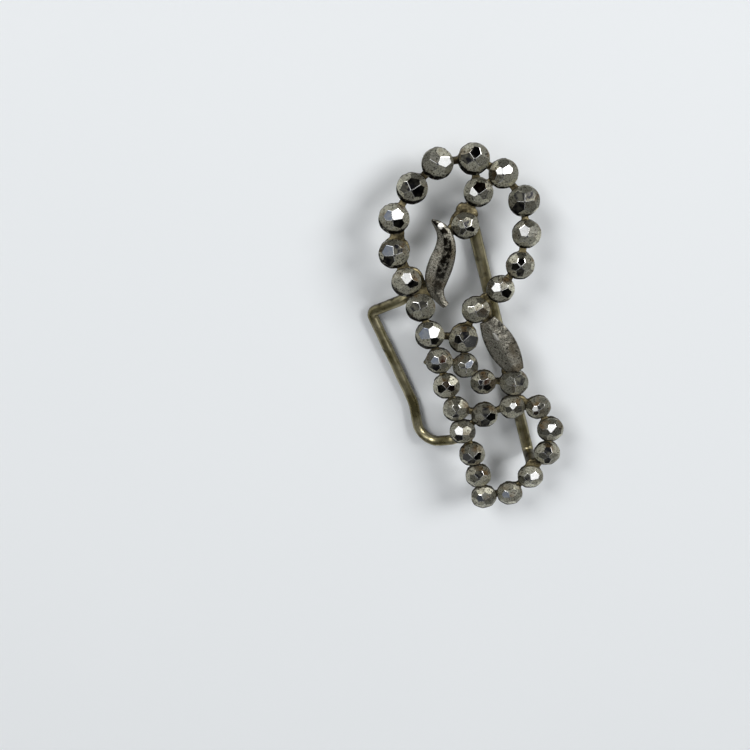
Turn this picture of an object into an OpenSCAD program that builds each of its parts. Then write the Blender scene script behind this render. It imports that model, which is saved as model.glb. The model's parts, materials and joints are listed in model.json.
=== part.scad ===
// Sash buckle half: cut steel studs riveted to a soldered openwork frame,
// with a sash bar behind it and a wire loop that takes the other half's hook.
// It lies face up on the sash bar and the loop's outer leg.

/* [Studs] */
// Head across on the upper scroll
head_large = 3.2; // [3:0.05:3.25]
// Head across on the stem and the lower scroll
head_medium = 3.0; // [2.8:0.05:3.05]
// Head across where the scrolls meet
head_small = 2.85; // [2.6:0.05:2.9]
// Height of a head above its pad
head_h = 1.2; // [1.1:0.05:1.25]
// Height of the round girdle under the facets
girdle_h = 0.2; // [0.15:0.05:0.25]
// Slope of the four kite facets at the top
kite_tilt = 18; // [16:1:20]
// Slope of the four main facets
main_tilt = 45; // [43:1:47]
// Slope of the four narrow facets at the kites' outer corners
corner_tilt = 60; // [58:1:62]
// Shank that passes through the pad
shank_d = 0.8; // [0.6:0.05:0.85]
// Peened tail behind the pad, across
tail_d = 0.95; // [0.9:0.05:1]
// Peened tail, height
tail_h = 0.25; // [0.15:0.05:0.3]

/* [Backing] */
// Thickness of the sheet that the pads and necks are cut from
plate_t = 0.5; // [0.4:0.05:0.7]
// How far a pad shows all round its stud
pad_rim = 0.08; // [0.06:0.01:0.12]
// Width of the necks between pads
neck_w = 0.95; // [0.8:0.05:1.1]
// Width of the strips behind the leaf and the navette
strip_w = 1.3; // [1.1:0.1:1.6]

/* [Sash bar] */
// Thickness of the round bar
bar_d = 1.35; // [1.2:0.05:1.4]
// Room for the sash between the bar and the backing
sash_gap = 2.2; // [2:0.05:2.4]
// Radius of the bend at each end of the bar
bar_bend = 0.9; // [0.8:0.05:1]
// Lobe of the backing that takes each end, across
lobe_d = 1.75; // [1.6:0.05:1.8]

/* [Wire loop] */
// Thickness of the loop's wire
wire_d = 1.2; // [1.1:0.05:1.25]
// Radius of the sharp bend at the top outer corner
sharp_bend = 0.8; // [0.7:0.05:1]
// Radius of the wide bend at the bottom outer corner
wide_bend = 2.2; // [1.8:0.1:2.4]
// Drop of solder that holds each end of the loop, across
solder_d = 1.5; // [1.4:0.05:1.6]

/* [Leaf and navette] */
// Height of the rim of the leaf and the navette
rim_h = 0.3; // [0.2:0.05:0.4]
// Height of the ridge of the leaf
leaf_ridge = 0.85; // [0.7:0.05:1]
// Height of the ridge of the navette
navette_ridge = 0.85; // [0.7:0.05:1]
// Width of the navette at its middle
navette_w = 3.2; // [2.9:0.1:3.3]

/* [Clearance] */
// Gap between separate pieces
gap = 0.04; // [0.03:0.01:0.05]

/* [Hidden] */
$fn = 48;

// A collar this much wider than the wire joins each straight leg to the bend
// beside it, and the collars are what touches the surface that the buckle lies on.
collar_extra = 0.02;
collar_half = 0.04;

// Heights from that surface
bar_low = (bar_d + collar_extra) / 2;
loop_low = (wire_d + collar_extra) / 2;
plate_z = bar_d + sash_gap;
head_z = plate_z + plate_t + gap;
tail_z = plate_z - gap - tail_h;
hole_d = shank_d + 2 * gap;

// Plan places are measured from the sash bar, with the buckle's length along Y.
// This shift puts the origin under the middle of the whole buckle.
centre = [2.98, 0.04];

// Strands of studs. The first stud stands at the given place and each other one
// stands a step further, with the step's heading in degrees from +X and its length.
// One letter for each stud says which head it has: l large, m medium, s small.
// Each stud's facets are turned by its own angle.
NAME = 0;
FIRST = 1;
STEPS = 2;
HEADS = 3;
TURNS = 4;
STRANDS = [
    // name, first place, steps, heads, turns
    ["tip", [-0.5, 13.2], [[55, 3.68]], "sm", [4, 19]],
    ["crown", [1.95, 19.62],
        [[171, 3.63], [209, 3.53], [224, 3.63], [254, 3.74], [277, 3.45], [282, 3.28], [272, 3.46]],
        "llllllll", [22, 48, 11, 81, 86, 25, 4, 84]],
    ["inner", [4.45, 17.35],
        [[293, 3.6], [262, 3.52], [247, 3.46], [218, 3.27], [207, 3.46], [235, 3.64]],
        "mlmmmml", [77, 76, 66, 29, 88, 8, 19]],
    ["waist", [-4.3, -2.42], [[299, 2.92]], "ss", [79, 74]],
    ["hook", [0.42, -6], [], "l", [77]],
    ["stem", [-6.95, -1.02],
        [[270, 3.28], [276, 3.18], [270, 3.07], [276, 3.3], [270, 3.1], [269, 3.08]],
        "mmmmmmm", [84, 34, 29, 74, 29, 29, 4]],
    ["foot", [-3.25, -20.38],
        [[30, 3.3], [46, 3.64], [72, 3.2], [103, 3.32]],
        "mmmms", [86, 80, 29, 29, 5]],
    ["link", [-0.45, -8.98], [[182, 3.25]], "sm", [29, 29]],
];

// Necks that join one strand to another: strand and stud, strand and stud
JOINS = [
    [["tip", 2], ["crown", 1]],
    [["tip", 2], ["inner", 1]],
    [["crown", 1], ["inner", 1]],
    [["crown", 8], ["stem", 1]],
    [["crown", 8], ["inner", 7]],
    [["stem", 1], ["waist", 1]],
    [["inner", 7], ["waist", 1]],
    [["waist", 2], ["hook", 1]],
    [["hook", 1], ["link", 1]],
    [["stem", 3], ["link", 2]],
    [["stem", 4], ["link", 2]],
    [["stem", 7], ["foot", 1]],
    [["foot", 5], ["link", 1]],
];

// The leaf's stations from its upper tip to its foot: x, y, width
LEAF = [
    [-3.65, 14.75, 0.25],
    [-3.2, 14.1, 0.9],
    [-2.85, 13.35, 1.4],
    [-2.8, 12.4, 1.8],
    [-3.1, 11.3, 2.25],
    [-3.7, 10.25, 2.6],
    [-4.35, 9.25, 2.65],
    [-4.85, 8.3, 2.4],
    [-5.12, 7.35, 1.85],
    [-5.07, 6.5, 1.3],
    [-4.88, 5.8, 0.95],
    [-4.6, 5.2, 0.75],
];
// Stations of the leaf that carry its rivet posts
LEAF_POSTS = [3, 7];
// Strip behind the leaf, from the tip's pad to the crown's
LEAF_STRIP = [[-0.5, 13.2], [-2.8, 12.9], [-2.9, 11.9], [-4.2, 9.5], [-5.1, 7.5], [-7, 5.9]];

// The navette: middle, direction of its long axis, half length and the half
// length at which its sides would meet
NAVETTE_AT = [0.12, -1.15];
NAVETTE_TURN = -75.5;
navette_half = 3.55;
navette_point = 5.2;
NAVETTE_POSTS = [-2, 1.9];
NAVETTE_STEPS = 12;
// Strip behind the navette, from the inner strand to the hook stud's pad
NAVETTE_STRIP = [[-0.3, 4.7], [-0.75, 2.2], [0.6, -3.1], [-0.1, -4.5], [0.42, -6]];

// The bar's two ends in plan
BAR_TOP = [0.35, 14.15];
BAR_FOOT = [0.15, -17.3];

// The loop's corners from under the crown to under the stem, and the radius of
// the bend at each inner corner
under_plate = 0.12;
loop_high = plate_z - wire_d / 2 - under_plate;
LOOP = [
    [-6.85, 7.9, loop_high],
    [-8.95, 6.6, loop_high],
    [-12.95, 5.3, loop_low],
    [-11.4, -7.2, loop_low],
    [-11.95, -12.5, loop_low + 0.25],
    [-8.1, -12.1, loop_high - 0.1],
    [-6.3, -11.8, loop_high],
];
LOOP_BENDS = [2, sharp_bend, 6, wide_bend, 3];

// Where the backing shows beside its studs: strand and stud, shift of an added
// disc from the stud's middle, and how wide the disc is
SPREADS = [
    [["crown", 5], [0.28, 0.23], 3.25],
    [["crown", 6], [0.41, 0], 3.2],
    [["tip", 1], [-0.23, 0.28], 2.85],
    [["tip", 1], [0.16, 1.68], 1.6],
    [["inner", 7], [0.1, 0.34], 3.15],
    [["link", 1], [0.8, 0.08], 2.4],
];
// Necks that are stouter than the others: strand and stud at each end, shift to
// one side, and width
STOUT_NECKS = [
    [["crown", 4], ["crown", 5], [0.34, -0.1], 1.7],
    [["crown", 5], ["crown", 6], [0.45, -0.1], 1.2],
];

// Small burr that stands out from the edge of one pad
BURR_AT = [-8.5, -0.9];
burr_w = 0.5;

// Places of a strand's studs, walked one step at a time
HEADING = 0;
LENGTH = 1;
function walk(at, steps, i = 0) =
    i == len(steps) ? [at]
    : concat([at], walk(at + steps[i][LENGTH] * [cos(steps[i][HEADING]), sin(steps[i][HEADING])], steps, i + 1));

function strand_places(s) = walk(s[FIRST], s[STEPS]);
function head_across(letter) =
    letter == "l" ? head_large
    : letter == "m" ? head_medium
    : head_small;
function node_name(strand, n) = str("stud_", strand, "_", n);

// Every stud: node name, place in plan, head across, turn of its facets
AT = 1;
WIDE = 2;
TURN = 3;
STUDS = [
    for (s = STRANDS)
        let (places = strand_places(s))
        for (i = [0 : len(places) - 1])
            [node_name(s[NAME], i + 1), places[i], head_across(s[HEADS][i]), s[TURNS][i]]
];
function place(end) = [for (s = STUDS) if (s[NAME] == node_name(end[0], end[1])) s[AT]][0];

// Centre lines of all the necks
NECKS = concat(
    [for (s = STRANDS) let (p = strand_places(s)) if (len(p) > 1) for (i = [1 : len(p) - 1]) [p[i - 1], p[i]]],
    [for (j = JOINS) [place(j[0]), place(j[1])]]
);

// Stations of the navette: x, y, width
NAVETTE = [
    for (i = [0 : NAVETTE_STEPS])
        let (along = navette_half * (2 * i / NAVETTE_STEPS - 1))
        concat(
            NAVETTE_AT + along * [cos(NAVETTE_TURN), sin(NAVETTE_TURN)],
            navette_w * (1 - pow(along / navette_point, 2))
        )
];
function navette_place(along) = NAVETTE_AT + along * [cos(NAVETTE_TURN), sin(NAVETTE_TURN)];
POSTS = concat(
    [for (i = LEAF_POSTS) [LEAF[i].x, LEAF[i].y]],
    [for (a = NAVETTE_POSTS) navette_place(a)]
);

function unit(v) = v / norm(v);

module placed() {
    translate([centre.x, centre.y, 0]) children();
}

// Straight strip of the sheet from a to b, in plan
module strip(a, b, w) {
    run = b - a;
    translate(a)
        rotate(atan2(run.y, run.x))
            translate([0, -w / 2])
                square([norm(run), w]);
}

// Strips through the points. Each joint's disc is a little wider than the strips,
// so that it crosses their edges cleanly.
module strip_line(points, w) {
    wider = 0.08;
    for (i = [1 : len(points) - 1]) strip(points[i - 1], points[i], w);
    for (p = points) translate(p) circle(d = w + wider);
}

// Round rod from a to b
module rod(a, b, d) {
    run = b - a;
    translate(a)
        rotate([0, acos(run.z / norm(run)), atan2(run.y, run.x)])
            cylinder(d = d, h = norm(run));
}

// Length that a bend of radius r takes off each leg at corner i
function setback(path, i, r) =
    let (into = unit(path[i] - path[i - 1]), out = unit(path[i + 1] - path[i]))
    r * tan(acos(into * out) / 2);

// Round wire along the path, bent at each inner corner to its own radius
module bent_wire(path, bends, d) {
    stop = collar_half / 2;
    last = len(path) - 1;
    cuts = concat([-stop], [for (i = [1 : last - 1]) setback(path, i, bends[i - 1])], [-stop]);
    for (i = [1 : last]) {
        run = unit(path[i] - path[i - 1]);
        rod(path[i - 1] + (cuts[i - 1] + stop) * run, path[i] - (cuts[i] + stop) * run, d);
    }
    for (i = [1 : last - 1]) {
        into = unit(path[i] - path[i - 1]);
        out = unit(path[i + 1] - path[i]);
        inward = unit(out - (into * out) * into);
        side = cross(-inward, into);
        middle = path[i] - cuts[i] * into + bends[i - 1] * inward;
        collar(path[i] - cuts[i] * into, into, d);
        collar(path[i] + cuts[i] * out, out, d);
        multmatrix([
            [-inward.x, into.x, side.x, middle.x],
            [-inward.y, into.y, side.y, middle.y],
            [-inward.z, into.z, side.z, middle.z],
            [0, 0, 0, 1]
        ])
            rotate_extrude(angle = acos(into * out))
                translate([bends[i - 1], 0]) circle(d = d);
    }
}

module collar(at, run, d) {
    rod(at - collar_half * run, at + collar_half * run, d + collar_extra);
}

// Outline of the backing: pads, necks, spreads, strips, lobes and the burr
module backing_outline() {
    for (s = STUDS) translate(s[AT]) circle(d = s[WIDE] + 2 * pad_rim);
    for (n = NECKS) strip(n[0], n[1], neck_w);
    for (s = SPREADS) translate(place(s[0]) + s[1]) circle(d = s[2]);
    for (n = STOUT_NECKS) strip(place(n[0]) + n[2], place(n[1]) + n[2], n[3]);
    strip_line(LEAF_STRIP, strip_w);
    strip_line(NAVETTE_STRIP, strip_w);
    for (p = [BAR_TOP, BAR_FOOT]) translate(p) circle(d = lobe_d);
    translate(BURR_AT) rotate(40) square(burr_w, center = true);
}

module sash_bar() {
    high = plate_z + plate_t / 2;
    bent_wire(
        [
            [BAR_TOP.x, BAR_TOP.y, high],
            [BAR_TOP.x, BAR_TOP.y, bar_low],
            [BAR_FOOT.x, BAR_FOOT.y, bar_low],
            [BAR_FOOT.x, BAR_FOOT.y, high]
        ],
        [bar_bend, bar_bend],
        bar_d
    );
}

// The loop, with a drop of solder from each end up to the backing
module wire_loop() {
    under = 0.05;
    bent_wire(LOOP, LOOP_BENDS, wire_d);
    for (end = [LOOP[0], LOOP[len(LOOP) - 1]])
        translate([end.x, end.y, end.z - wire_d / 2 - under])
            cylinder(d = solder_d, h = wire_d + under + plate_t);
}

module frame() {
    color("#6b6450") placed() difference() {
        union() {
            translate([0, 0, plate_z]) linear_extrude(plate_t) backing_outline();
            sash_bar();
            wire_loop();
        }
        for (p = concat([for (s = STUDS) s[AT]], POSTS))
            translate([p.x, p.y, tail_z - gap]) cylinder(d = hole_d, h = plate_t + tail_h + 3 * gap);
    }
}

// Shank and peened tail, up to the underside of a head
module rivet(p) {
    translate([p.x, p.y, tail_z]) cylinder(d = shank_d, h = head_z - tail_z + gap);
    translate([p.x, p.y, tail_z]) cylinder(d = tail_d, h = tail_h);
}

// Rings of facets on a head: how many, first direction, slope, and the radius and
// height that each plane passes through
function facet_rings(r) = [
    [4, 45, kite_tilt, 0, head_h],
    [4, 0, main_tilt, r, girdle_h],
    [4, 45, corner_tilt, r, girdle_h]
];

// Head of a stud, cut by planes and worn flat at its point
module stud_head(across) {
    table_drop = 0.04;
    difference() {
        cylinder(d = across, h = head_h - table_drop);
        for (ring = facet_rings(across / 2))
            for (i = [0 : ring[0] - 1])
                rotate([0, 0, ring[1] + 360 / ring[0] * i])
                    translate([ring[3], 0, ring[4]])
                        rotate([0, ring[2], 0])
                            translate([-2 * across, -across, 0])
                                cube([3 * across, 2 * across, across]);
    }
}

module stud(s) {
    color("#8f9396") placed() {
        translate([s[AT].x, s[AT].y, head_z]) rotate(s[TURN]) stud_head(s[WIDE]);
        rivet(s[AT]);
    }
}

// Ridged piece through the stations, each a five-cornered section across the run
module ridged(rows, ridge) {
    last = len(rows) - 1;
    widest = max([for (r = rows) r[2]]);
    function heading(i) =
        let (a = rows[max(i - 1, 0)], b = rows[min(i + 1, last)])
        atan2(b.y - a.y, b.x - a.x);
    function section(i) =
        let (
            r = rows[i],
            h = heading(i),
            across = [-sin(h), cos(h)] * r[2] / 2,
            top = rim_h + (ridge - rim_h) * sqrt(r[2] / widest)
        )
        [
            [r.x - across.x, r.y - across.y, 0],
            [r.x - across.x, r.y - across.y, rim_h],
            [r.x, r.y, top],
            [r.x + across.x, r.y + across.y, rim_h],
            [r.x + across.x, r.y + across.y, 0]
        ];
    corners = 5;
    points = [for (i = [0 : last]) each section(i)];
    sides = [
        for (i = [0 : last - 1])
            for (c = [0 : corners - 1])
                let (d = (c + 1) % corners)
                [i * corners + c, i * corners + d, (i + 1) * corners + d, (i + 1) * corners + c]
    ];
    first_end = [for (c = [corners - 1 : -1 : 0]) c];
    last_end = [for (c = [0 : corners - 1]) last * corners + c];
    polyhedron(points, concat(sides, [first_end, last_end]), convexity = 4);
}

module leaf() {
    color("#77797a") placed() {
        translate([0, 0, head_z]) ridged(LEAF, leaf_ridge);
        for (i = LEAF_POSTS) rivet([LEAF[i].x, LEAF[i].y]);
    }
}

module navette() {
    color("#7d7b78") placed() {
        difference() {
            translate([0, 0, head_z]) ridged(NAVETTE, navette_ridge);
            for (end = [["hook", 1], ["inner", 6]])
                translate([place(end).x, place(end).y, head_z - gap])
                    cylinder(d = head_large + 4 * gap, h = navette_ridge + 3 * gap);
        }
        for (a = NAVETTE_POSTS) rivet(navette_place(a));
    }
}

frame();
leaf();
navette();
for (s = STUDS)
    stud(s);
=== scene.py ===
import json
import math
import random
from functools import partial

import bmesh
import bpy
from mathutils import Matrix, Vector, noise

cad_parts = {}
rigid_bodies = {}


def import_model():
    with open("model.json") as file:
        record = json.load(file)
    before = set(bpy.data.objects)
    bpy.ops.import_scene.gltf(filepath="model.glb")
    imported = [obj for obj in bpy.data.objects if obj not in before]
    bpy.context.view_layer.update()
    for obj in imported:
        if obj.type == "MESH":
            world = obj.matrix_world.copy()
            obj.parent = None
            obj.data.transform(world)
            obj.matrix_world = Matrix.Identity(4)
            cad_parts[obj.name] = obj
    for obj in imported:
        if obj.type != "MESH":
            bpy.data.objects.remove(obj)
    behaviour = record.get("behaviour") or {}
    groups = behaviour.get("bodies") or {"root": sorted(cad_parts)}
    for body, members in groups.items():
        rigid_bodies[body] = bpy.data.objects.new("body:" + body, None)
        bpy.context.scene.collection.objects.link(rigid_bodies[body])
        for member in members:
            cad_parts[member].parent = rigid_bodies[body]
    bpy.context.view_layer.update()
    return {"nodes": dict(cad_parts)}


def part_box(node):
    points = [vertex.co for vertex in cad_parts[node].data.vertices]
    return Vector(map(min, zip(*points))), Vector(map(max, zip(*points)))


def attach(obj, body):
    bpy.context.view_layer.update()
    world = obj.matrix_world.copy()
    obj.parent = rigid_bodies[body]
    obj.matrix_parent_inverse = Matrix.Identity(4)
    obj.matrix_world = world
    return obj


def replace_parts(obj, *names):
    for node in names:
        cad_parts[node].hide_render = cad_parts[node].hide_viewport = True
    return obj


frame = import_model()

mm = 0.001
scene = bpy.context.scene
scene.view_settings.view_transform = "Standard"

# Heights of the construction, in mm above the table
heights = {
    "headBase": 4.09,
    "tailEnd": 3.26,
}
planShift = Vector((2.98, 0.04, 0))  # places in plan below are measured from the sash bar

cameraSetup = {
    "turn": -16.328,  # degrees
    "tilt": 26.7,
    "place": (1.4116, 42.5841, 93.7371),  # mm
    "focal": 900,  # pixels
    "frame": 750,
    "sensor": 36.0,  # mm
}


def linear(hexColour):
    # sRGB hex to Blender's linear colour
    parts = [int(hexColour[i:i + 2], 16) / 255 for i in (1, 3, 5)]
    return [c / 12.92 if c <= 0.04045 else ((c + 0.055) / 1.055) ** 2.4 for c in parts] + [1]


def addNode(tree, kind, sockets=None, out=0, **settings):
    # a socket gets a value, or a link where it is given another node's output; one output comes back
    node = tree.nodes.new("ShaderNode" + kind)
    for name, value in settings.items():
        setattr(node, name, value)
    for key, value in (sockets or {}).items():
        if isinstance(value, bpy.types.NodeSocket):
            tree.links.new(value, node.inputs[key])
        else:
            node.inputs[key].default_value = value
    return node.outputs[out] if node.outputs else None


def newMaterial(name):
    material = bpy.data.materials.new(name)
    material.use_nodes = True
    material.node_tree.nodes.clear()
    return material, partial(addNode, material.node_tree)


def spotted(add, place, size, low, high, detail):
    # noise whose features are this many mm: nothing below its value low, full above its value high
    cloudy = add("TexNoise", {"Vector": place, "Scale": 1 / (size * mm), "Detail": detail}, "Fac")
    return add("MapRange", {"Value": cloudy, "From Min": low, "From Max": high})


def layered(add, base, layers):
    # colours laid one over another, each as thick as its pattern times its amount
    for pattern, amount, colour in layers:
        share = add("Math", {0: pattern, 1: amount}, operation="MULTIPLY")
        base = add("Mix", {0: share, 6: base, 7: linear(colour)}, 2, data_type="RGBA")
    return base


def roughened(add, roughness, layers):
    # each pattern makes the metal rougher by its amount
    for pattern, amount in layers:
        roughness = add("Math", {0: pattern, 1: amount, 2: roughness}, operation="MULTIPLY_ADD")
    return roughness


def finishMetal(add, looks, base, roughness, height):
    relief = add("Bump", {
        "Height": height, "Distance": looks["relief"] * mm, "Strength": looks["reliefStrength"]})
    surface = add("BsdfPrincipled", {
        "Base Color": base, "Metallic": looks["metallic"], "Roughness": roughness, "Normal": relief})
    add("OutputMaterial", {"Surface": surface})


# Cut steel: small heads filed and then polished, facet by facet. Old damp has left fine dark
# pits and brown bloom on the lower facets and on half of the top ones, so they look grey and
# grainy. The other top facets still mirror the room, each with a painted reflection in white,
# blue grey, black or dark red. Painted shade makes each facet lighter or darker by the way it
# faces and darkens the foot of each head and a crescent on its lower side; the top edges carry
# a painted highlight.
cutSteelLooks = {
    "clean": "#e6e4d3",
    "dull": "#aeaa95",
    "white": "#f2f1ee",
    "blue": "#666b75",
    "black": "#1e1e21",
    "red": "#2b1812",
    "rust": "#5c4a30",
    "pit": "#1b1712",
    # painted shade at the foot of each head and in a crescent on its lower side
    "shadeColour": "#14100b",
    # each pattern: size in mm, noise value where it starts, value where it is full, detail
    "pits": (0.2, 0.53, 0.66, 3),
    "grain": (0.12, 0.34, 0.66, 3),
    "stain": (1.5, 0.5, 0.64, 4),
    "blotches": (0.525, 0.42, 0.62, 4),
    # mottles the painted shade of the heads
    "shadeMottle": (0.5, 0.36, 0.56, 3),
    # from the darkest facets to the lightest: painted shade by the way each facet faces, with a random
    # spread of tone
    "shade": (0.22, 1.3),
    "bloom": (0.9, 0.25),
    # from the black painted reflection to the white one
    "blotched": (0.24, 0.08),
    # from filed facets to polished ones
    "pitted": (0.92, 0.08),
    "roughness": (0.4, 0.12),
    "uneven": (1.0, 0.02),
    "metallic": 1.0,
    "stainRoughness": 0.15,
    "shadeRoughness": 0.08,
    "grainHeight": 0.25,
    "relief": 0.016,  # mm
    "reliefStrength": 1.0,
    "shadeAtFoot": (4.1, 4.3),  # mm above the table: painted shade darkens each head below this, at its foot
    "crescentRound": (0.12, 0.46),  # painted shade lies past a circle round this point of a head, in radii
    "crescentFrom": 1.18,
    "crescentFull": 1.3,
    # least painted shade, where the mottle is thin
    "leastShade": 0.5,
}


def cutSteel():
    looks = cutSteelLooks
    material, add = newMaterial("cutSteel")
    place = add("TexCoord", out="Object")
    polish, paintedReflection, toneAndShade = (
        add("Attribute", out="Fac", attribute_name=name) for name in ("polish", "paintedReflection", "facetToneAndShade"))
    pits, grain, stain, blotches, shadeMottle = (
        spotted(add, place, *looks[name]) for name in ("pits", "grain", "stain", "blotches", "shadeMottle"))
    shade, bloom, blotched, pitted, roughness, uneven = (
        add("MapRange", {"Value": share, "To Min": looks[name][0], "To Max": looks[name][1]})
        for share, name in ((toneAndShade, "shade"), (toneAndShade, "bloom"), (paintedReflection, "blotched"),
                            (polish, "pitted"), (polish, "roughness"), (polish, "uneven")))

    # filed facets, where brown bloom lies mostly on the upper ones
    filed = layered(add, linear(looks["dull"]), ((grain, 1.0, looks["clean"]),))
    # painted shade: each filed facet is made lighter or darker by the way it faces
    filed = add("Mix", {0: 1.0, 6: filed, 7: shade}, 2, data_type="RGBA", blend_type="MULTIPLY")
    filed = layered(add, filed, ((stain, bloom, looks["rust"]),))

    # polished facets, coloured as painted reflections from black through dark red and blue grey to white;
    # the dark ones are blotched and the bright ones nearly clean
    polished = add("ValToRGB", {0: paintedReflection})
    ramp = polished.node.color_ramp
    ramp.interpolation = "CONSTANT"
    for i, name in enumerate(("black", "red", "blue", "white")):
        stop = ramp.elements[i] if i < 2 else ramp.elements.new(i / 4)
        stop.position = i / 4
        stop.color = linear(looks[name])
    polished = layered(add, polished, ((blotches, blotched, looks["dull"]),))

    # painted shade: darker at the foot of each head and in a crescent on its lower side in the picture, in
    # mottled patches
    # the UV map is the head's plan in radii from its middle, with V towards the top of the picture
    reach = add("VectorMath", {0: place.node.outputs["UV"], 1: (*looks["crescentRound"], 0)}, "Value",
                operation="DISTANCE")
    crescent = add("MapRange", {
        "Value": reach, "From Min": looks["crescentFrom"], "From Max": looks["crescentFull"]})
    low = add("MapRange", {
        "Value": add("SeparateXYZ", {0: place}, "Z"), "From Min": looks["shadeAtFoot"][0] * mm,
        "From Max": looks["shadeAtFoot"][1] * mm, "To Min": 1.0, "To Max": 0.0})
    shadeMask = add("Math", {0: low, 1: crescent}, operation="MAXIMUM")
    shadeMottle = add("Math", {0: shadeMottle, 1: looks["leastShade"]}, operation="ADD")

    base = add("Mix", {0: polish, 6: filed, 7: polished}, 2, data_type="RGBA")
    base = layered(add, base, ((pits, pitted, looks["pit"]), (shadeMask, shadeMottle, looks["shadeColour"])))
    roughness = roughened(
        add, roughness, ((stain, looks["stainRoughness"]), (toneAndShade, looks["shadeRoughness"])))
    height = add("Math", {0: grain, 1: looks["grainHeight"]}, operation="MULTIPLY")
    height = add("Math", {0: height, 1: pits}, operation="SUBTRACT")
    height = add("Math", {0: height, 1: uneven}, operation="MULTIPLY")
    finishMetal(add, looks, base, roughness, height)
    return material


# Pitted steel of the leaf and the navette: filed by hand, never faceted fine, and now
# dull grey with deep pits and olive brown tarnish, with painted shade and ragged rust on one flank and a
# painted highlight in places.
pittedSteelLooks = {
    "clean": "#d0ccbe",
    "dull": "#605c50",
    "tarnish": "#625640",
    "pit": "#14110d",
    # colour of the painted highlight
    "bright": "#f4f2ec",
    # each pattern: size in mm, noise value where it starts, value where it is full, detail
    "pits": (0.24, 0.55, 0.68, 3),
    "grain": (0.084, 0.35, 0.7, 3),
    "stain": (2.4, 0.5, 0.66, 4),
    "ragged": (0.6, 0.3, 0.52, 4),
    "tarnished": 0.7,
    "pitted": 0.85,
    "leastShine": 0.5,
    "metallic": 1.0,
    "roughness": 0.42,
    "stainRoughness": 0.2,
    "pitRoughness": 0.2,
    "grainHeight": 0.35,
    "relief": 0.04,  # mm
    "reliefStrength": 1.0,
}


def pittedSteel():
    looks = pittedSteelLooks
    material, add = newMaterial("pittedSteel")
    place = add("TexCoord", out="Object")
    # the mesh says how deep rust and painted shade lie, and where a highlight is painted on the steel
    rustAndShade, paintedHighlight = (add("Attribute", out="Fac", attribute_name=name) for name in ("rustAndShade", "paintedHighlight"))
    pits, grain, stain, ragged = (
        spotted(add, place, *looks[name]) for name in ("pits", "grain", "stain", "ragged"))
    shine = add("MapRange", {"Value": grain, "To Min": 1.0, "To Max": looks["leastShine"]})
    # painted shade with ragged rust on one flank, and a painted highlight
    base = layered(add, linear(looks["dull"]), (
        (grain, 1.0, looks["clean"]), (stain, looks["tarnished"], looks["tarnish"]),
        (pits, looks["pitted"], looks["pit"]), (ragged, rustAndShade, looks["pit"]),
        (paintedHighlight, shine, looks["bright"])))
    roughness = roughened(
        add, looks["roughness"], ((stain, looks["stainRoughness"]), (pits, looks["pitRoughness"])))
    height = add("Math", {0: grain, 1: looks["grainHeight"]}, operation="MULTIPLY")
    height = add("Math", {0: height, 1: pits}, operation="SUBTRACT")
    finishMetal(add, looks, base, roughness, height)
    return material


# Tarnished brass sheet with old solder: an olive brown skin, yellower where hands
# have rubbed it and nearly black in its hollows, with painted shade on its cut sides.
brassLooks = {
    "worn": "#aa9d78",
    "olive": "#4f4730",
    "dark": "#1c160e",
    "solder": "#8d8670",
    # each pattern: size in mm, noise value where it starts, value where it is full, detail
    "cloud": (0.9, 0.38, 0.58, 4),
    "hollows": (1.08, 0.52, 0.66, 4),
    "grain": (0.22, 0.38, 0.6, 3),
    "smears": (1.98, 0.56, 0.66, 3),
    "smeared": 0.5,
    "darkened": 0.85,
    "grainy": 0.4,
    "sideDirt": 0.85,  # how much painted shade darkens the cut sides towards black
    "sideFrom": 0.1,
    "sideFull": 0.7,
    "metallic": 0.85,
    "roughness": 0.42,
    "hollowRoughness": 0.25,
    "grainRoughness": 0.1,
    "grainHeight": 0.5,
    "relief": 0.05,  # mm
    "reliefStrength": 0.8,
}


def tarnishedBrass():
    looks = brassLooks
    material, add = newMaterial("tarnishedBrass")
    place = add("TexCoord", out="Object")
    cloud, hollows, grain, smears = (
        spotted(add, place, *looks[name]) for name in ("cloud", "hollows", "grain", "smears"))
    # painted shade on the sides of the sheet
    side = add("MapRange", {
        "Value": add("Attribute", out="Fac", attribute_name="side"),
        "From Min": looks["sideFrom"], "From Max": looks["sideFull"]})
    base = layered(add, linear(looks["olive"]), (
        (cloud, 1.0, looks["worn"]), (smears, looks["smeared"], looks["solder"]),
        (hollows, looks["darkened"], looks["dark"]), (grain, looks["grainy"], looks["dark"]),
        (side, looks["sideDirt"], looks["dark"])))
    roughness = roughened(
        add, looks["roughness"], ((hollows, looks["hollowRoughness"]), (grain, looks["grainRoughness"])))
    height = add("Math", {0: grain, 1: looks["grainHeight"], 2: cloud}, operation="MULTIPLY_ADD")
    finishMetal(add, looks, base, roughness, height)
    return material


# Drawn brass wire: pulled through a die, so fine lines run along it. The skin is
# tan to olive and stained dark in places, with painted shade darkest on the flanks and underside.
wireLooks = {
    "tan": "#dbd2ae",
    "olive": "#898059",
    "dark": "#241d13",
    # each pattern: size in mm, noise value where it starts, value where it is full, detail
    "cloud": (2.2, 0.38, 0.62, 4),
    "stain": (1.32, 0.56, 0.7, 4),
    "lineWidth": 0.12,  # mm: real draw lines are finer than a pixel, so these are a few of them together
    "lineLength": 8.333,
    "lineFrom": 0.35,
    "lineFull": 0.65,
    "lineDetail": 3,
    "lined": 0.55,
    "stained": 0.8,
    # how much painted shade darkens the flanks
    "flankShade": 0.85,
    "flankFrom": 0.25,
    "flankFull": 0.9,
    "metallic": 0.9,
    "roughness": 0.27,
    "stainRoughness": 0.25,
    "cloudRoughness": 0.06,
    "relief": 0.008,  # mm
    "reliefStrength": 1.0,
}


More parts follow.
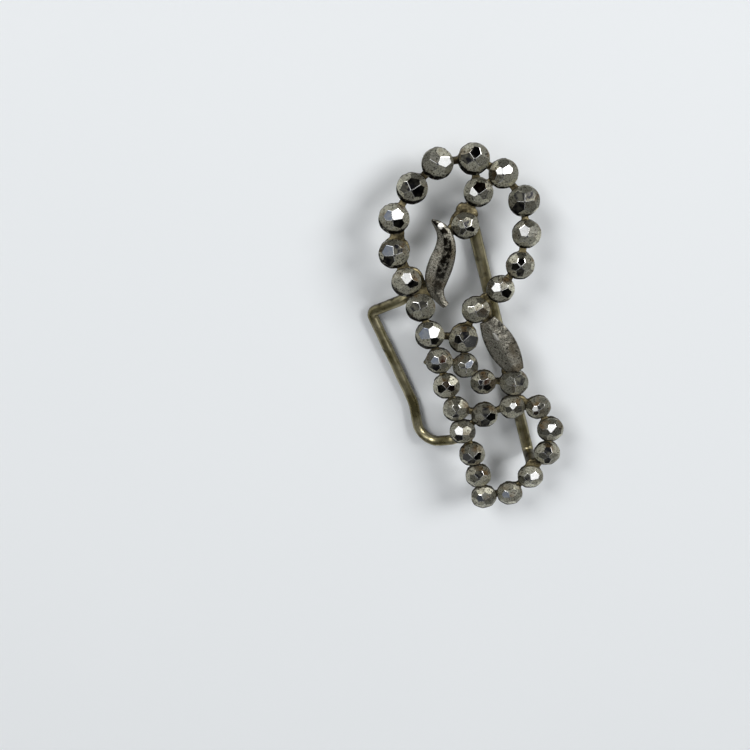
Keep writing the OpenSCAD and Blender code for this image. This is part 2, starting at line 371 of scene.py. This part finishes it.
def drawnWire():
    looks = wireLooks
    material, add = newMaterial("drawnWire")
    place = add("TexCoord", out="Object")
    cloud, stain = (spotted(add, place, *looks[name]) for name in ("cloud", "stain"))
    # the UV map is unrolled in mm: across the wire in U, along it in V
    unrolled = add("Mapping", {
        "Vector": place.node.outputs["UV"], "Scale": (1 / looks["lineWidth"], 1 / looks["lineLength"], 1)})
    lines = add("TexNoise", {"Vector": unrolled, "Scale": 1.0, "Detail": looks["lineDetail"]}, "Fac")
    lines = add("MapRange", {"Value": lines, "From Min": looks["lineFrom"], "From Max": looks["lineFull"]})
    # painted shade: the flanks and underside of the wire are darkened
    flank = add("MapRange", {
        "Value": add("Attribute", out="Fac", attribute_name="side"),
        "From Min": looks["flankFrom"], "From Max": looks["flankFull"]})
    base = layered(add, linear(looks["olive"]), (
        (cloud, 1.0, looks["tan"]), (lines, looks["lined"], looks["olive"]),
        (stain, looks["stained"], looks["dark"]), (flank, looks["flankShade"], looks["dark"])))
    roughness = roughened(
        add, looks["roughness"], ((stain, looks["stainRoughness"]), (cloud, looks["cloudRoughness"])))
    finishMetal(add, looks, base, roughness, lines)
    return material


# Soft solder: a dull grey lead and tin alloy with a yellow brown film, smooth where
# it ran and slightly wrinkled where it set.
solderLooks = {
    "grey": "#8b877b",
    "film": "#5d5538",
    # each pattern: size in mm, noise value where it starts, value where it is full, detail
    "filmed": (1.05, 0.4, 0.62, 4),
    "wrinkles": (0.35, 0.3, 0.7, 3),
    "metallic": 0.9,
    "roughness": 0.4,
    "filmRoughness": 0.15,
    "relief": 0.03,  # mm
    "reliefStrength": 1.0,
}


def softSolder():
    looks = solderLooks
    material, add = newMaterial("softSolder")
    place = add("TexCoord", out="Object")
    filmed, wrinkles = (spotted(add, place, *looks[name]) for name in ("filmed", "wrinkles"))
    base = layered(add, linear(looks["grey"]), ((filmed, 1.0, looks["film"]),))
    roughness = roughened(add, looks["roughness"], ((filmed, looks["filmRoughness"]),))
    finishMetal(add, looks, base, roughness, wrinkles)
    return material


steel, oldSteel = cutSteel(), pittedSteel()
brass, wire, solder = tarnishedBrass(), drawnWire(), softSolder()
print("materials made")


def placePiece(name, mesh, material):
    # mesh is in mm, in the part's own frame
    mesh.transform(Matrix.Scale(mm, 4))
    mesh.materials.clear()
    mesh.materials.append(material)
    piece = bpy.data.objects.new(name, mesh)
    scene.collection.objects.link(piece)
    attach(piece, "root")
    return piece


def meshOf(bm, name):
    mesh = bpy.data.meshes.new(name)
    bm.normal_update()
    bm.to_mesh(mesh)
    bm.free()
    return mesh


def lumpy(spot, coarse, fine, share, shift=Vector()):
    # waves of noise, so many for each mm, where the fine ones are weaker by this share
    return noise.noise(spot * coarse + shift) + share * noise.noise(spot * fine + shift)


def roundPlan(node):
    # middle and radius of a round node of the construction, in mm
    low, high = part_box(node)
    middle = (low + high) / 2 / mm
    return middle.xy, (high.x - low.x) / 2 / mm


# Shank that goes through the backing, with its end peened over into a small tail
shankShape = {
    "radius": 0.4,
    "tail": 0.475,
    "tailHeight": 0.25,
    # share of the tail's radius, and height over its end
    "tailCurve": ((0, 0), (0.55, 0.02), (0.92, 0.09), (1, 0.15), (0.97, 0.23)),
    "intoHead": 0.02,
    "around": 24,
}


def addShank(bm, x=0, y=0):
    shape, around = shankShape, shankShape["around"]
    profile = [(shape["tail"] * share, heights["tailEnd"] + up) for share, up in shape["tailCurve"]]
    neck, top = heights["tailEnd"] + shape["tailHeight"], heights["headBase"] + shape["intoHead"]
    profile += [(shape["radius"], neck), (shape["radius"], top), (0, top)]
    rings = []
    for radius, up in profile:
        angles = [2 * math.pi * i / around for i in range(around if radius else 1)]
        rings.append([
            bm.verts.new((x + radius * math.cos(a), y + radius * math.sin(a), up)) for a in angles])
    for low, high in zip(rings, rings[1:]):
        for i in range(around):
            j = (i + 1) % around
            corners = [low[i % len(low)], low[j % len(low)], high[j % len(high)], high[i % len(high)]]
            unique = list(dict.fromkeys(corners))  # three of them where a ring is one point
            bm.faces.new(unique).smooth = True


# Studs. Each head is a short cylinder cut by planes, with the small uneven angles
# of hand work and soft edges, on a shank of its own.
studShape = {
    "girdle": 0.2,
    "height": 1.2,
    "pointCut": 0.04,  # the point is this much lower than its facets would make it
    "mainTilt": 45,
    "cornerTilt": {"s": 48, "m": 53, "w": 60},  # the steeper the corner facets, the wider the top ones
    "topTilt": 24,
    "crownLean": 7,  # the lower facets are steeper above and flatter below, by this many degrees
    "tiltSpread": 3.0,
    "apexSpread": 0.08,
    "apexLean": (-0.04, 0.16),  # every point leans this way in plan
    "around": 64,
    "mergeWithin": 0.012,
    "edge": 0.04,
    "edgeAngle": 11,  # degrees from which two facets meet in an edge
    "edgeArea": 0.05,  # square mm, under which a face is part of an edge
    "highlightAbove": 0.85,  # edges above this height get a painted highlight
    "upright": 0.02,  # faces that look up less than this are the round girdle
}
# How light the facets are, as painted shade: those that face down and left in the picture are made lighter
# and those that face up and right darker, with a random spread of tone
facetShadeAndTone = {
    "middle": 0.5,
    "down": 0.42,
    "left": 0.12,
    "spread": 0.4,
}
# How far each head is turned, the painted reflection or worn grey of each of its four top facets, and how
# wide they are:
# w white, b blue grey, k black, r dark red, g worn grey like the facets below
# s small, m middling, w wide
headLooks = {
    "crown": (
        (22, "kkgg", "w"), (48, "gggw", "w"), (11, "kkgk", "s"), (81, "bgkw", "s"),
        (86, "bkgk", "s"), (25, "wggk", "m"), (4, "kkgg", "s"), (84, "bgkw", "s"),
    ),
    "tip": (
        (4, "kgkk", "s"), (19, "rwgg", "s"),
    ),
    "inner": (
        (77, "wggw", "s"), (76, "kkgk", "w"), (66, "wggg", "s"), (29, "kkkg", "s"),
        (88, "wgkg", "s"), (8, "gggg", "m"), (19, "kkgw", "s"),
    ),
    "waist": (
        (79, "kggb", "m"), (74, "kkkr", "s"),
    ),
    "hook": (
        (77, "gggk", "m"),
    ),
    "stem": (
        (84, "bkgr", "s"), (34, "rkgr", "s"), (29, "kgkg", "s"), (74, "wkgg", "s"),
        (29, "gwkk", "s"), (29, "kggg", "s"), (4, "gbgg", "s"),
    ),
    "foot": (
        (86, "bggg", "s"), (80, "kggw", "s"), (29, "kgkg", "m"), (29, "wggg", "s"),
        (5, "kwrg", "s"),
    ),
    "link": (
        (29, "wggg", "s"), (29, "kgkk", "m"),
    ),
}
# How polished a facet of each kind is, and the place of its painted reflection between black, red, blue and
# white
facetPolishAndReflection = {
    "w": (1, 0.9),
    "b": (1, 0.6),
    "k": (1, 0.1),
    "r": (1, 0.35),
    "g": (0.1, 0.6),
    "filed": (0, 0.6),
    # painted highlight on the top edges
    "highlightEdge": (0.9, 0.9),
}
shadeCrescentReach = {"crown": 1.1, "tip": 1.0, "others": 0.95}  # the higher, the wider the crescent of painted shade


def sliceOff(bm, point, normal):
    everything = bm.verts[:] + bm.edges[:] + bm.faces[:]
    cut = bmesh.ops.bisect_plane(bm, geom=everything, dist=1e-5, plane_co=point, plane_no=normal,
                                 clear_outer=True)
    rim = [e for e in cut["geom_cut"] if isinstance(e, bmesh.types.BMEdge)]
    if len(rim) < 3:
        return []
    return bmesh.ops.contextual_create(bm, geom=rim)["faces"]


def cutHead(radius, turn, letters, size, rng):
    shape, shadeAndTone = studShape, facetShadeAndTone
    bm = bmesh.new()
    polish, paintedReflection, toneAndShade = (bm.faces.layers.float.new(name) for name in ("polish", "paintedReflection", "facetToneAndShade"))
    top = shape["height"] - shape["pointCut"]
    bmesh.ops.create_cone(bm, cap_ends=True, segments=shape["around"], radius1=radius, radius2=radius,
                          depth=top, matrix=Matrix.Translation((0, 0, top / 2)))
    for face in bm.faces:
        face[toneAndShade] = shadeAndTone["middle"]
    apex = Vector((rng.uniform(-1, 1), rng.uniform(-1, 1), 0)) * shape["apexSpread"]
    apex += Matrix.Rotation(-math.radians(turn), 3, "Z") @ Vector((*shape["apexLean"], 0))
    apex.z = shape["height"]
    # wide, corner and top facets: where the first of each four faces, its tilt and what marks them
    rings = (
        (0, shape["mainTilt"], ""),
        (45, shape["cornerTilt"][size], ""),
        (45, shape["topTilt"], letters),
    )
    for first, tilt, marks in rings:
        for i in range(4):
            angle = math.radians(first + 90 * i + rng.uniform(-1, 1) * shape["tiltSpread"])
            lean = tilt + rng.uniform(-1, 1) * shape["tiltSpread"]
            facing = Vector((math.cos(angle), math.sin(angle), 0))
            upward = math.sin(angle + math.radians(turn))
            rightward = math.cos(angle + math.radians(turn))
            if marks:
                point = apex
            else:
                point = facing * radius + Vector((0, 0, shape["girdle"]))
                lean += shape["crownLean"] * upward
            normal = facing * math.sin(math.radians(lean)) + Vector((0, 0, math.cos(math.radians(lean))))
            # painted shade by the way the facet faces, and a random spread of tone
            shade = shadeAndTone["middle"] - shadeAndTone["down"] * upward - shadeAndTone["left"] * rightward
            shade += shadeAndTone["spread"] * rng.uniform(-1, 1)
            for face in sliceOff(bm, point, normal):
                face[toneAndShade] = max(0, min(1, shade))
                face[polish], face[paintedReflection] = facetPolishAndReflection[marks[i] if marks else "filed"]
    bmesh.ops.remove_doubles(bm, verts=bm.verts[:], dist=shape["mergeWithin"])
    bmesh.ops.dissolve_degenerate(bm, dist=1e-4, edges=bm.edges[:])
    corner = math.radians(shape["edgeAngle"])
    sharp = [e for e in bm.edges if len(e.link_faces) == 2 and e.calc_face_angle(0) > corner]
    bmesh.ops.bevel(bm, geom=sharp, offset=shape["edge"], segments=2, profile=0.6, affect="EDGES",
                    clamp_overlap=True)
    for face in bm.faces:
        isEdge = face.calc_area() < shape["edgeArea"]
        face.smooth = isEdge or abs(face.normal.z) < shape["upright"]
        # painted highlight: the small edge faces near the top are made polished and white
        if isEdge and face.calc_center_median().z > shape["highlightAbove"]:
            face[polish], face[paintedReflection] = facetPolishAndReflection["highlightEdge"]
    return bm


def makeStud(strand, number, turn, letters, size):
    name = f"stud_{strand}_{number}"
    middle, radius = roundPlan(name)
    bm = cutHead(radius, turn, letters, size, random.Random(name))
    placed = Matrix.Translation((0, 0, heights["headBase"])) @ Matrix.Rotation(math.radians(turn), 4, "Z")
    bmesh.ops.transform(bm, matrix=placed, verts=bm.verts[:])
    addShank(bm)
    plan = bm.loops.layers.uv.new("plan")
    pictureUp = Matrix.Rotation(-math.radians(cameraSetup["turn"]), 3, "Z")
    # the plan map, scaled by this reach, places the crescent of painted shade
    reach = shadeCrescentReach.get(strand, shadeCrescentReach["others"])
    for face in bm.faces:
        for loop in face.loops:
            loop[plan].uv = (pictureUp @ loop.vert.co).xy / radius * reach
    bmesh.ops.transform(bm, matrix=Matrix.Translation((*middle, 0)), verts=bm.verts[:])
    piece = placePiece("steel_" + name, meshOf(bm, name), steel)
    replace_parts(piece, name)
    return middle


holes = []
for strand, heads in headLooks.items():
    for number, look in enumerate(heads, 1):
        holes.append(makeStud(strand, number, *look))
print("studs made")


# Wires. Each is swept along a path of straight legs and round bends, and is slightly uneven.
wireShape = {
    "step": 0.16,
    "around": 36,
    "wobble": 0.03,
    "waves": (0.7, 2.3, 0.4),  # in each mm, and the share of the fine ones
    "proudest": 0.01,  # it is nowhere thicker than its radius by more than this
}
sashBarShape = {
    "radius": 0.675,
    "corners": ((0.35, 14.15, 3.8), (0.35, 14.15, 0.685), (0.15, -17.3, 0.685), (0.15, -17.3, 3.8)),
    "bends": (0.9, 0.9),
}
wireLoopShape = {
    "radius": 0.6,
    "corners": (
        (-6.85, 7.9, 2.83), (-8.95, 6.6, 2.83), (-12.95, 5.3, 0.61), (-11.4, -7.2, 0.61),
        (-11.95, -12.5, 0.86), (-8.1, -12.1, 2.73), (-6.3, -11.8, 2.83),
    ),
    "bends": (2, 0.8, 6, 2.2, 3),
}


def bentPath(corners, bends, step):
    # points about a step apart, along straight legs and the arcs between them
    points = [corners[0]]
    for before, corner, after, bend in zip(corners, corners[1:], corners[2:], bends):
        into = (corner - before).normalized()
        out = (after - corner).normalized()
        angle = into.angle(out)
        inward = (out - into * into.dot(out)).normalized()
        middle = corner - into * bend * math.tan(angle / 2) + inward * bend
        steps = max(3, round(bend * angle / step))
        for k in range(steps + 1):
            a = angle * k / steps
            points.append(middle + (into * math.sin(a) - inward * math.cos(a)) * bend)
    points.append(corners[-1])
    filled = [points[0]]
    for a, b in zip(points, points[1:]):
        pieces = max(1, round((b - a).length / step))
        filled += [a + (b - a) * (k / pieces) for k in range(1, pieces + 1)]
    return filled


def sweptWire(name, path, radius):
    shape, around = wireShape, wireShape["around"]
    unit = 2 * math.pi * radius / around
    bm = bmesh.new()
    unrolled = bm.loops.layers.uv.new("unrolled")
    side = bm.verts.layers.float.new("side")
    tangents = [(after - before).normalized()
                for before, after in zip(path[:1] + path, path[1:] + path[-1:])]
    first = tangents[0].orthogonal().normalized()
    rings, along, total = [], [], 0.0
    for i, (point, tangent) in enumerate(zip(path, tangents)):
        first = (first - tangent * first.dot(tangent)).normalized()
        second = tangent.cross(first)
        total += (point - path[i - 1]).length if i else 0
        along.append(total)
        ring = []
        for k in range(around):
            a = 2 * math.pi * k / around
            direction = first * math.cos(a) + second * math.sin(a)
            thick = radius + shape["wobble"] * lumpy(point + direction * radius, *shape["waves"])
            ring.append(bm.verts.new(point + direction * min(thick, radius + shape["proudest"])))
            # painted shade: none on top of the wire, full on its flanks and underside
            ring[-1][side] = 1 - max(0, direction.z)
        rings.append(ring)
    for i in range(len(rings) - 1):
        for k in range(around):
            j = (k + 1) % around
            face = bm.faces.new((rings[i][k], rings[i][j], rings[i + 1][j], rings[i + 1][k]))
            face.smooth = True
            for loop, (u, v) in zip(face.loops, ((k, i), (k + 1, i), (k + 1, i + 1), (k, i + 1))):
                loop[unrolled].uv = (u * unit, along[v])
    bm.faces.new(rings[0][::-1])
    bm.faces.new(rings[-1])
    return meshOf(bm, name)


def makeWire(name, shape):
    corners = [Vector(corner) + planShift for corner in shape["corners"]]
    path = bentPath(corners, shape["bends"], wireShape["step"])
    placePiece(name, sweptWire(name, path, shape["radius"]), wire)
    return corners[0], corners[-1]


makeWire("brass_sash_bar", sashBarShape)
loopEnds = makeWire("brass_wire_loop", wireLoopShape)
print("wires made")


# Drops of solder that hold the loop's ends under the backing
solderShape = {
    "half": (0.78, 0.78, 0.8),
    "raised": Vector((0, 0, 0.1)),
    "lump": 0.06,
    "waves": (1.7, 4, 0.5),  # on a ball of radius one, and the share of the fine ones
}


def makeSolder():
    shape = solderShape
    bm = bmesh.new()
    for end in loopEnds:
        for vertex in bmesh.ops.create_icosphere(bm, subdivisions=5, radius=1)["verts"]:
            swell = 1 + shape["lump"] * lumpy(vertex.co, *shape["waves"], end)
            vertex.co = vertex.co * Vector(shape["half"]) * swell + end + shape["raised"]
    for face in bm.faces:
        face.smooth = True
    placePiece("solder_drops", meshOf(bm, "solder_drops"), solder)


makeSolder()
print("solder made")


# Leaf and navette: low ridged pieces of filed steel, each a section carried along
# its own line of stations, on two posts that are peened as the studs are.
ridgedShape = {
    "rim": 0.3,
    "ridge": 0.85,
    "edge": 0.05,
    "edgeShare": 0.2,  # of half the width, where that is narrower
    "edgeRise": 0.3,
    "steps": 6,  # in each flank
    "blunt": (0.06, 0.07),  # how much of the ridge is worn away, and how far from it, as shares
    "hollow": 0.035,
    "uneven": 0.02,
    "waves": (1.3, 4, 0.6),  # in each mm, and the share of the fine ones
    "sunk": 0.012,  # worn lower all over
    "unevenOut": 0.015,
    "wavesOut": 2,  # in each mm
    "shiftOut": Vector((5, 5, 5)),
    "flat": 0.02,  # below this height the piece lies flat on its backing
    "rimFrom": 0.9,
    "rimDarkening": 0.75,  # darker round the rim and on the sides
    # width of the painted highlight along the ridge, in shares of half the width
    "highlightWidth": 0.05,
}
leafShape = {
    "stations": (
        (-3.65, 14.75, 0.25), (-3.2, 14.1, 0.9), (-2.85, 13.35, 1.4), (-2.8, 12.4, 1.8), (-3.1, 11.3, 2.25),
        (-3.7, 10.25, 2.6), (-4.35, 9.25, 2.65), (-4.85, 8.3, 2.4), (-5.12, 7.35, 1.85), (-5.07, 6.5, 1.3),
        (-4.88, 5.8, 0.95), (-4.6, 5.2, 0.75),
    ),
    "perStation": 8,
    "posts": (3, 7),  # stations
    "rustAndShadeAcross": (-0.3, 0.55),  # where painted shade and rust darken the flank, in shares of half the width
    "rustAndShadeAlong": (1.8, 0.25),  # how much at the start and at the end
    "paintedHighlight": (-2.93, 14.0, 0.3),  # place and radius of a painted highlight
    "highlightAlong": (0, 0),  # none
}
navetteShape = {
    "middle": (0.12, -1.15),
    "turn": -75.5,
    "half": 3.55,
    "point": 5.2,  # where the two curved sides would meet
    "width": 3.2,
    "stations": 73,
    "posts": (-2, 1.9),  # mm from the middle
    # painted shade with rust on the right flank
    "rustAndShadeAcross": (0.06, 0.95),
    "rustAndShadeAlong": (0.85, 0.2),
    "paintedHighlight": (0, 0, 0),  # none
    "highlightAlong": (0.2, 0.33),  # the ridge gets a painted highlight between these shares of its length
    "neighbours": ("stud_hook_1", "stud_inner_6"),  # heads that it is filed away from
    "clearance": 0.08,
}


def smoothRows(rows, per):
    # a smooth curve that passes through every row of numbers
    out = []
    for i in range(len(rows) - 1):
        p = [rows[max(i - 1, 0)], rows[i], rows[i + 1], rows[min(i + 2, len(rows) - 1)]]
        for k in range(per):
            t = k / per
            out.append([0.5 * (2 * b + (c - a) * t + (2 * a - 5 * b + 4 * c - d) * t * t
                               + (3 * b - a - 3 * c + d) * t ** 3) for a, b, c, d in zip(*p)])
    out.append(list(rows[-1]))
    return out


def ridgedSection(half, top):
    # points (out, up) round the section, from one side of the flat underside to the other
    shape, rim = ridgedShape, ridgedShape["rim"]
    edge = min(shape["edge"], half * shape["edgeShare"])
    risen = rim + edge * shape["edgeRise"]
    sideways = [(half - edge, 0), (half, edge), (half, rim - edge), (half - edge, risen)]
    flanks = []
    for k in range(1, 2 * shape["steps"]):
        t = k / shape["steps"] - 1
        slope = 1 - abs(t)
        blunt = shape["blunt"][0] * math.exp(-(t / shape["blunt"][1]) ** 2)
        up = rim + (top - rim) * (slope - blunt) - shape["hollow"] * math.sin(math.pi * slope)
        flanks.append((t * (half - edge), up))
    return [(-out, up) for out, up in sideways] + flanks + sideways[::-1]


def ridgedMesh(rows, piece, keepClear):
    shape, rim = ridgedShape, ridgedShape["rim"]
    bm = bmesh.new()
    rustAndShade = bm.verts.layers.float.new("rustAndShade")
    paintedHighlight = bm.verts.layers.float.new("paintedHighlight")
    paintedHighlightAt = Vector(piece["paintedHighlight"][:2]) + planShift.xy
    rustAndShadeFrom, rustAndShadeTo = piece["rustAndShadeAcross"]
    highlightFrom, highlightTo = piece["highlightAlong"]
    widest = max(row[2] for row in rows)
    sections = []
    for i, (x, y, width) in enumerate(rows):
        before, after = rows[max(i - 1, 0)], rows[min(i + 1, len(rows) - 1)]
        along = Vector((after[0] - before[0], after[1] - before[1], 0)).normalized()
        across = Vector((-along.y, along.x, 0))
        share = i / len(rows)
        rustAndShadeHere = piece["rustAndShadeAlong"][0] * (1 - share) + piece["rustAndShadeAlong"][1] * share
        half = width / 2
        ring = []
        top = rim + (shape["ridge"] - rim) * math.sqrt(width / widest)
        for out, up in ridgedSection(half, top):
            spot = Vector((x, y, heights["headBase"] + up)) + across * out
            if up > shape["flat"]:
                spot.z += shape["uneven"] * lumpy(spot, *shape["waves"]) - shape["sunk"]
                wave = noise.noise(spot * shape["wavesOut"] + shape["shiftOut"])
                spot += across * shape["unevenOut"] * wave
            for middle, radius in keepClear:
                away = spot.xy - middle
                if away.length < radius:
                    spot.xy += away.normalized() * (radius - away.length)
            vertex = bm.verts.new(spot)
            reach = out / half
            # painted highlight on a spot and along part of the ridge
            inSpot = (spot.xy - paintedHighlightAt).length < piece["paintedHighlight"][2]
            onRidge = abs(reach) < shape["highlightWidth"] and highlightFrom < share < highlightTo
            # painted shade with rust on one flank, and darker round the rim
            if up > rim:
                vertex[paintedHighlight] = float(inSpot or onRidge)
                vertex[rustAndShade] = rustAndShadeHere if rustAndShadeFrom < reach < rustAndShadeTo else 0
            if abs(reach) > shape["rimFrom"]:
                vertex[rustAndShade] = shape["rimDarkening"]
            ring.append(vertex)
        sections.append(ring)
    count = len(sections[0])
    for low, high in zip(sections, sections[1:]):
        for k in range(count):
            j = (k + 1) % count
            bm.faces.new((low[k], low[j], high[j], high[k])).smooth = True
    bm.faces.new(sections[0][::-1])
    bm.faces.new(sections[-1])
    bmesh.ops.recalc_face_normals(bm, faces=bm.faces[:])
    return bm


def makeRidged(node, piece, rows, posts, keepClear=()):
    bm = ridgedMesh(rows, piece, keepClear)
    for post in posts:
        addShank(bm, *post)
    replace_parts(placePiece("steel_" + node, meshOf(bm, node), oldSteel), node)
    return posts


def makeLeaf():
    shape = leafShape
    rows = [(x + planShift.x, y + planShift.y, width) for x, y, width in shape["stations"]]
    posts = [Vector(rows[i][:2]) for i in shape["posts"]]
    return makeRidged("leaf", shape, smoothRows(rows, shape["perStation"]), posts)


def makeNavette():
    shape = navetteShape
    turn = math.radians(shape["turn"])
    x, y = shape["middle"][0] + planShift.x, shape["middle"][1] + planShift.y
    rows = []
    for i in range(shape["stations"]):
        along = shape["half"] * (2 * i / (shape["stations"] - 1) - 1)
        width = shape["width"] * (1 - (along / shape["point"]) ** 2)
        rows.append((x + along * math.cos(turn), y + along * math.sin(turn), width))
    posts = [Vector((x + along * math.cos(turn), y + along * math.sin(turn))) for along in shape["posts"]]
    keepClear = [
        (middle, radius + shape["clearance"]) for middle, radius in map(roundPlan, shape["neighbours"])]
    return makeRidged("navette", shape, rows, posts, keepClear)


holes += makeLeaf() + makeNavette()
print("leaf and navette made")


# Backing: the sheet with its pads and necks, its edges filed round and its joints
# filled with a little solder. It starts from the construction's own outline.
backingShape = {
    "cutAt": 3.35,  # mm above the table: what is lower belongs to the wires
    "drawnIn": 0.13,  # the heads just cover their pads
    "holeReach": 0.6,
    "sideways": 0.1,  # only what faces sideways at least this much is moved
    "webbing": (-6.48, 7.46, 1.1),  # place and radius: solder fills the corner beside the leaf
    "webGrowth": 0.104,  # mm that the web stands out instead
    "voxel": 0.105,
    "smoothing": 5,
    "softness": 0.5,
    "lump": 0.06,
    "waves": (1 / 0.55, 3 / 0.55, 0.5),  # in each mm, and the share of the fine ones
}


def makeBacking():
    shape = backingShape
    bm = bmesh.new()
    bm.from_mesh(frame["nodes"]["frame"].data)
    bmesh.ops.scale(bm, vec=(1 / mm, 1 / mm, 1 / mm), verts=bm.verts[:])
    bmesh.ops.remove_doubles(bm, verts=bm.verts[:], dist=1e-4)
    everything = bm.verts[:] + bm.edges[:] + bm.faces[:]
    cut = bmesh.ops.bisect_plane(bm, geom=everything, dist=1e-4, plane_co=(0, 0, shape["cutAt"]),
                                 plane_no=(0, 0, 1), clear_inner=True)
    rim = [e for e in cut["geom_cut"] if isinstance(e, bmesh.types.BMEdge)]
    bmesh.ops.holes_fill(bm, edges=rim, sides=0)
    bm.normal_update()
    webMiddle, webRadius = Vector(shape["webbing"][:2]) + planShift.xy, shape["webbing"][2]
    for vertex in bm.verts:
        outward = vertex.normal.xy
        inHole = min((vertex.co.xy - hole).length for hole in holes) < shape["holeReach"]
        inWeb = (vertex.co.xy - webMiddle).length < webRadius
        if outward.length > shape["sideways"] and not inHole:
            vertex.co.xy += outward.normalized() * (shape["webGrowth"] if inWeb else -shape["drawnIn"])
    rough = bpy.data.objects.new("roughBacking", meshOf(bm, "roughBacking"))
    scene.collection.objects.link(rough)
    blocks = rough.modifiers.new("blocks", "REMESH")
    blocks.mode = "VOXEL"
    blocks.voxel_size = shape["voxel"]
    blocks.use_smooth_shade = True
    softer = rough.modifiers.new("softer", "SMOOTH")
    softer.factor = shape["softness"]
    softer.iterations = shape["smoothing"]
    ready = rough.evaluated_get(bpy.context.evaluated_depsgraph_get())
    mesh = bpy.data.meshes.new_from_object(ready)
    bpy.data.objects.remove(rough)
    for vertex, normal in zip(mesh.vertices, [v.normal.copy() for v in mesh.vertices]):
        vertex.co += normal * shape["lump"] * lumpy(vertex.co, *shape["waves"])
    # painted shade: the more a point faces sideways, the darker
    side = mesh.attributes.new("side", "FLOAT", "POINT")
    side.data.foreach_set("value", [1 - abs(v.normal.z) for v in mesh.vertices])
    placePiece("brass_backing", mesh, brass)


makeBacking()
for name in ("brass_backing", "brass_sash_bar", "brass_wire_loop", "solder_drops"):
    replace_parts(bpy.data.objects[name], "frame")
print("backing made")


# Stage: a floor of smooth matte board, whose grain is too fine to show, and a dark room with
# a few big pale cards in it, which the polished facets mirror. Azimuths are measured in the
# picture, from its right side towards its top.
floorLooks = {
    "board": "#eef1f3",
    "shaded": "#d9dfe4",
    "clouds": (40, 0.3, 0.7, 2),  # size in mm, noise value where it starts, value where it is full, detail
    "cloudy": 0.05,
    "roughness": 0.6,
    "across": 1.2,
}
roomLooks = {
    "card": "#e9ebed",
    "room": 0.05,
    "backdrop": "#dfe3e6",
}
# Where each card stands, half its width and how soft its edge is, in degrees
paleCards = (
    {"azimuth": 18, "elevation": 50, "half": 17, "soft": 2, "bright": 1.3},
    {"azimuth": 167, "elevation": 59, "half": 19, "soft": 2, "bright": 1.3},
    {"azimuth": 65, "elevation": 71, "half": 9, "soft": 2, "bright": 1.3},
    {"azimuth": 90, "elevation": 18, "half": 14, "soft": 8, "bright": 0.5},
    {"azimuth": -90, "elevation": 20, "half": 22, "soft": 12, "bright": 0.3},
)
softboxes = {
    "key": {"azimuth": 33, "elevation": 36, "size": 0.5, "power": 9.9, "distance": 1.2},
    "fill": {"azimuth": 129, "elevation": 38, "size": 0.42, "power": 7.1, "distance": 1.2},
}


def towards(spot):
    # unit vector to a card or a lamp
    azimuth = math.radians(spot["azimuth"] + cameraSetup["turn"])
    rise = math.radians(spot["elevation"])
    return Vector((math.cos(azimuth) * math.cos(rise), math.sin(azimuth) * math.cos(rise), math.sin(rise)))


def makeFloor():
    looks = floorLooks
    bm = bmesh.new()
    bmesh.ops.create_grid(bm, x_segments=8, y_segments=8, size=looks["across"] / 2)
    floor = bpy.data.objects.new("floor", meshOf(bm, "floor"))
    scene.collection.objects.link(floor)
    material, add = newMaterial("matteBoard")
    clouds = spotted(add, add("TexCoord", out="Object"), *looks["clouds"])
    base = layered(add, linear(looks["board"]), ((clouds, looks["cloudy"], looks["shaded"]),))
    surface = add("BsdfPrincipled", {"Base Color": base, "Roughness": looks["roughness"]})
    add("OutputMaterial", {"Surface": surface})
    floor.data.materials.append(material)


def makeRoom():
    looks = roomLooks
    world = bpy.data.worlds.new("studio")
    scene.world = world
    world.use_nodes = True
    world.node_tree.nodes.clear()
    add = partial(addNode, world.node_tree)
    direction = add("TexCoord", out="Generated")
    lit = looks["room"]
    for card in paleCards:
        facing = add("VectorMath", {0: direction, 1: towards(card)}, "Value", operation="DOT_PRODUCT")
        glow = add("MapRange", {
            "Value": facing, "From Min": math.cos(math.radians(card["half"] + card["soft"])),
            "From Max": math.cos(math.radians(card["half"] - card["soft"])), "To Max": card["bright"]},
            interpolation_type="SMOOTHSTEP")
        lit = add("Math", {0: lit, 1: glow}, operation="ADD")
    light = add("Background", {"Color": linear(looks["card"]), "Strength": lit})
    # what lies past the edge of the floor is pale too, though it lights nothing
    backdrop = add("Background", {"Color": linear(looks["backdrop"]), "Strength": 1.0})
    seen = add("LightPath", out="Is Camera Ray")
    both = add("MixShader", {0: seen, 1: light, 2: backdrop})
    add("OutputWorld", {"Surface": both})


def makeLights():
    for name, box in softboxes.items():
        lamp = bpy.data.lights.new(name, "AREA")
        lamp.shape = "SQUARE"
        lamp.size = box["size"]
        lamp.energy = box["power"]
        holder = bpy.data.objects.new(name, lamp)
        scene.collection.objects.link(holder)
        holder.location = towards(box) * box["distance"]
        holder.rotation_euler = towards(box).to_track_quat("Z", "Y").to_euler()


def makeCamera():
    setup = cameraSetup
    lens = bpy.data.cameras.new("camera")
    lens.sensor_width = setup["sensor"]
    lens.lens = setup["focal"] * setup["sensor"] / setup["frame"]
    lens.clip_start = 0.001
    lens.clip_end = 10
    camera = bpy.data.objects.new("camera", lens)
    scene.collection.objects.link(camera)
    camera.location = Vector(setup["place"]) * mm
    camera.rotation_euler = (math.radians(-setup["tilt"]), 0, math.radians(setup["turn"]))
    scene.camera = camera


makeFloor()
makeRoom()
makeLights()
makeCamera()
print("stage made")
